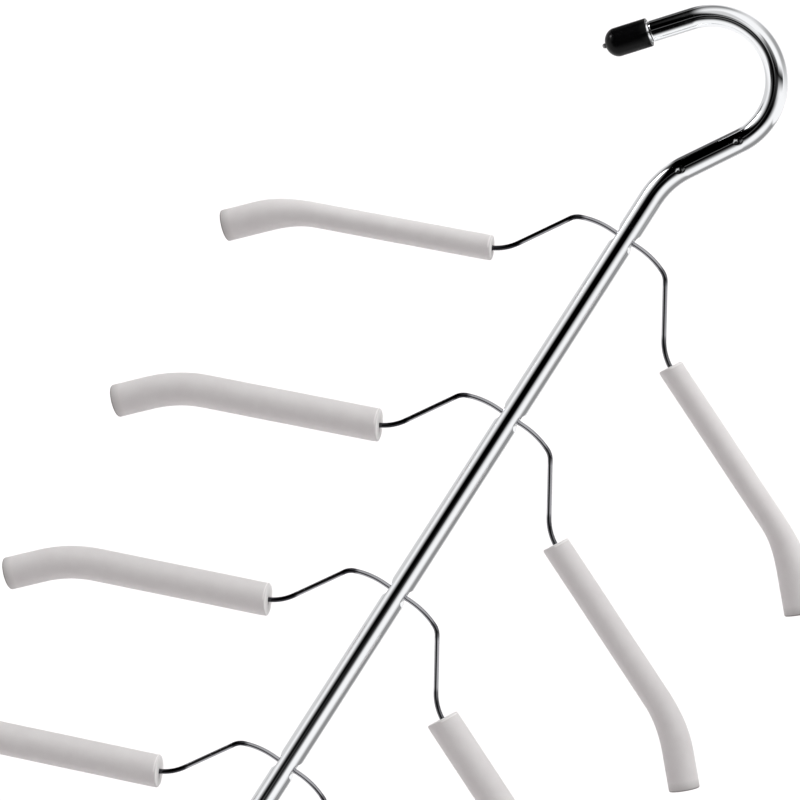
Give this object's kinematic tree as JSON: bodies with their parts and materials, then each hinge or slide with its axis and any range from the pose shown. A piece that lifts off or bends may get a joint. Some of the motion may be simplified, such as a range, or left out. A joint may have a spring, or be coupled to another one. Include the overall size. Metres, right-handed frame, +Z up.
{
  "type": "tiered hanger",
  "caption": "Chrome tube with an open rail hook, carrying bowed wire arms in tiers that swing in drilled holes, each arm in a grey foam sleeve, with black end caps.",
  "frame": {"origin": "the point inside the hook's crown that rests on the rail", "axes": "+Z up along the stem, X across the shoulders with the hook's mouth towards -X, the front towards -Y"},
  "size_m": [0.4338, 0.0202, 0.7993],
  "materials": {
    "chrome": "bright chrome plating on steel",
    "vinyl": "glossy dip-moulded black vinyl",
    "foam": "matt light grey closed-cell foam"
  },
  "bodies": {
    "stem": {"hook_tube": "chrome", "hook_tip_cap": "vinyl", "stem_foot_cap": "vinyl"},
    "tier_1": {"tier_1_wire": "chrome", "tier_1_sleeve_left": "foam", "tier_1_sleeve_right": "foam"},
    "tier_2": {"tier_2_wire": "chrome", "tier_2_sleeve_left": "foam", "tier_2_sleeve_right": "foam"},
    "tier_3": {"tier_3_wire": "chrome", "tier_3_sleeve_left": "foam", "tier_3_sleeve_right": "foam"},
    "tier_4": {"tier_4_wire": "chrome", "tier_4_sleeve_left": "foam", "tier_4_sleeve_right": "foam"},
    "tier_5": {"tier_5_wire": "chrome", "tier_5_sleeve_left": "foam", "tier_5_sleeve_right": "foam"}
  },
  "joints": [
    {"name": "tier_1_swing", "type": "hinge", "parent": "stem", "child": "tier_1", "pos_m": [0.00722, 0, -0.13853], "axis": [1, 0, 0], "range_deg": [-150, 150]},
    {"name": "tier_2_swing", "type": "hinge", "parent": "stem", "child": "tier_2", "pos_m": [0.00722, 0, -0.26653], "axis": [1, 0, 0], "range_deg": [-150, 150]},
    {"name": "tier_3_swing", "type": "hinge", "parent": "stem", "child": "tier_3", "pos_m": [0.00722, 0, -0.39453], "axis": [1, 0, 0], "range_deg": [-150, 150]},
    {"name": "tier_4_swing", "type": "hinge", "parent": "stem", "child": "tier_4", "pos_m": [0.00722, 0, -0.52253], "axis": [1, 0, 0], "range_deg": [-150, 150]},
    {"name": "tier_5_swing", "type": "hinge", "parent": "stem", "child": "tier_5", "pos_m": [0.00722, 0, -0.65053], "axis": [1, 0, 0], "range_deg": [-150, 150]}
  ]
}
